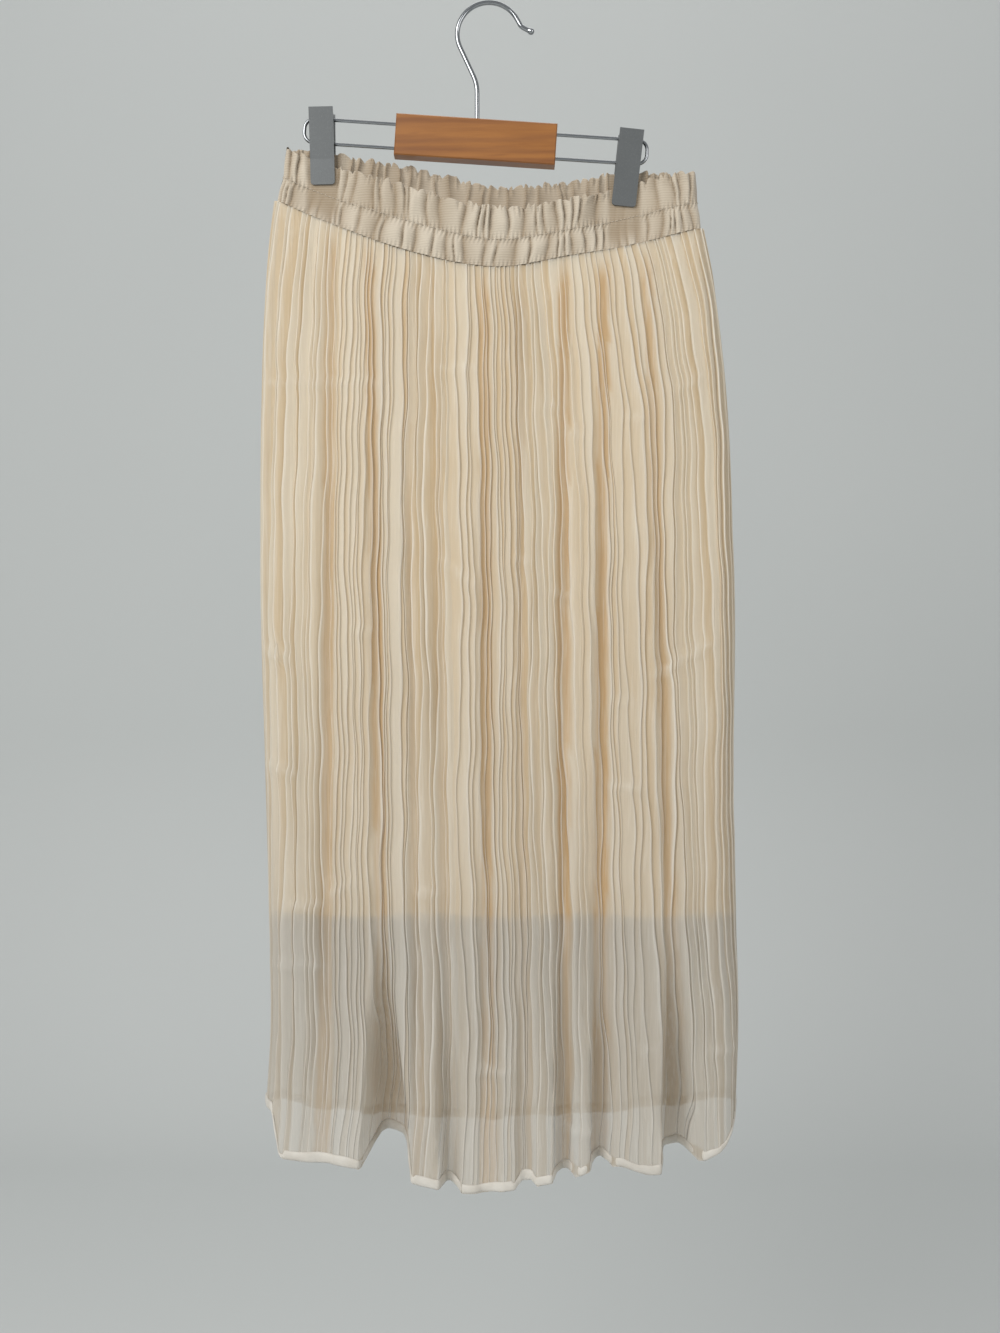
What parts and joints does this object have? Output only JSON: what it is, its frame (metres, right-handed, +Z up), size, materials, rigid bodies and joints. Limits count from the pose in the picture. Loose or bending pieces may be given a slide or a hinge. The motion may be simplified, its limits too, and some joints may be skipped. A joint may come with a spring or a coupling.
{
  "type": "pleated midi skirt on clip hanger",
  "caption": "Sheer pleated midi skirt with a gathered elastic waistband and a shorter lining, hanging from the clips of a wooden block hanger.",
  "frame": {"origin": "the point inside the top of the hook where it bears on what holds it up", "axes": "+Z up along the skirt's length, +X to the right across its width, the skirt's front faces -Y"},
  "size_m": [0.3634, 0.083, 0.8865],
  "materials": {
    "chiffon": "sheer pleated chiffon, cream",
    "slip": "plain woven lining, pale apricot",
    "crepe": "gathered crepe, beige",
    "wood": "varnished, satin",
    "bright_wire": "plated steel wire",
    "grey_paint": "grey paint, satin"
  },
  "bodies": {
    "root": {"skirt_front": "chiffon", "skirt_back": "chiffon", "lining_front": "slip", "lining_back": "slip", "waistband_front": "crepe", "waistband_back": "crepe", "hanger_block": "wood", "hanger_hook": "bright_wire", "hanger_rod_left": "bright_wire", "hanger_rod_right": "bright_wire", "clip_left_front": "grey_paint", "clip_left_back": "grey_paint", "clip_left_spring": "bright_wire", "clip_right_front": "grey_paint", "clip_right_back": "grey_paint", "clip_right_spring": "bright_wire"}
  },
  "joints": []
}
